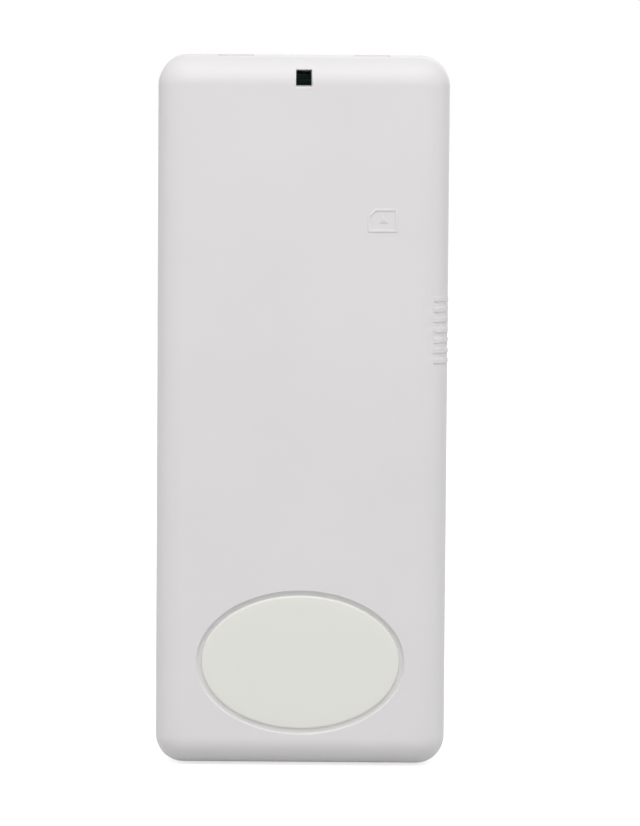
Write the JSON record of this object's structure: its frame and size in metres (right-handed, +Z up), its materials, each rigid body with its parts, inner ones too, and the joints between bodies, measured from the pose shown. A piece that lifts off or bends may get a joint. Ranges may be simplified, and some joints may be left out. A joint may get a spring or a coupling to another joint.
{
  "type": "door contact sensor",
  "caption": "Wall-mounted wireless reed sensor: white two-shell case, hinged front cover with oval badge and status window, board, cell, tamper switch.",
  "frame": {"origin": "centre of the back mounting face", "axes": "+Y out of the back face towards the door frame, +Z up the case's length to the status window end, +X to the right seen from the front, which faces -Y"},
  "size_m": [0.0375, 0.0201, 0.09],
  "materials": {
    "case_plastic": "fine satin moulded white",
    "badge_plastic": "smooth warm white",
    "circuit_board": "dark green solder mask",
    "zinc_steel": "bright zinc",
    "reed_glass": "clear, slightly green",
    "tinned_lead": "tinned",
    "led_body": "white",
    "led_lens": "clear pale yellow",
    "battery_steel": "nickel-plated",
    "battery_sleeve": "plain dark shrink sleeve",
    "nickel_contact": "nickel-plated",
    "black_plastic": "black moulded",
    "plunger_plastic": "red moulded",
    "spring_steel": "drawn wire",
    "chip_plastic": "moulded epoxy",
    "tinned_pin": "matt tin",
    "crystal_steel": "drawn can",
    "ceramic": "dark ceramic",
    "gold_lid": "thin gold plating",
    "tantalum": "orange epoxy",
    "resistor_body": "black glaze",
    "capacitor_body": "tan ceramic",
    "capacitor_aluminium": "satin can",
    "copper_wire": "enamelled copper"
  },
  "bodies": {
    "housing": {"rear_housing": "case_plastic", "circuit_board": "circuit_board", "board_screws": "zinc_steel", "reed_glass": "reed_glass", "reed_leads": "tinned_lead", "status_led": "led_body", "led_lens": "led_lens", "battery_can": "battery_steel", "battery_sleeve": "battery_sleeve", "positive_contact": "nickel_contact", "negative_contact": "nickel_contact", "negative_spring": "nickel_contact", "tamper_switch": "black_plastic", "tamper_spring": "spring_steel", "controller": "chip_plastic", "controller_pins": "tinned_pin", "radio_chip": "chip_plastic", "radio_chip_pins": "tinned_pin", "crystal_can": "crystal_steel", "resonator_base": "ceramic", "resonator_cap": "gold_lid", "tantalum_capacitor": "tantalum", "chip_resistors": "resistor_body", "chip_capacitors": "capacitor_body", "capacitor_base": "black_plastic", "capacitor_can": "capacitor_aluminium", "antenna_coil": "copper_wire"},
    "cover": {"front_cover": "case_plastic", "oval_badge": "badge_plastic"},
    "plunger": {"tamper_plunger": "plunger_plastic"},
    "blade": {"reed_blade": "tinned_lead"}
  },
  "joints": [
    {"name": "cover_hinge", "type": "hinge", "parent": "housing", "child": "cover", "pos_m": [0, -0.00275, 0.045], "axis": [-1, 0, 0], "range_deg": [0, 90]},
    {"name": "tamper_press", "type": "slide", "parent": "housing", "child": "plunger", "axis": [0, 1, 0], "range_m": [0, 0.0005], "stiffness_N_per_m": 400, "springref_m": -0.001, "deforming": ["tamper_spring"]},
    {"name": "reed_bend", "type": "hinge", "parent": "housing", "child": "blade", "pos_m": [0.0136, -0.01604, 0.0134], "axis": [1, 0, 0], "range_deg": [0, 1.6], "stiffness_Nm_per_rad": 0.001}
  ]
}
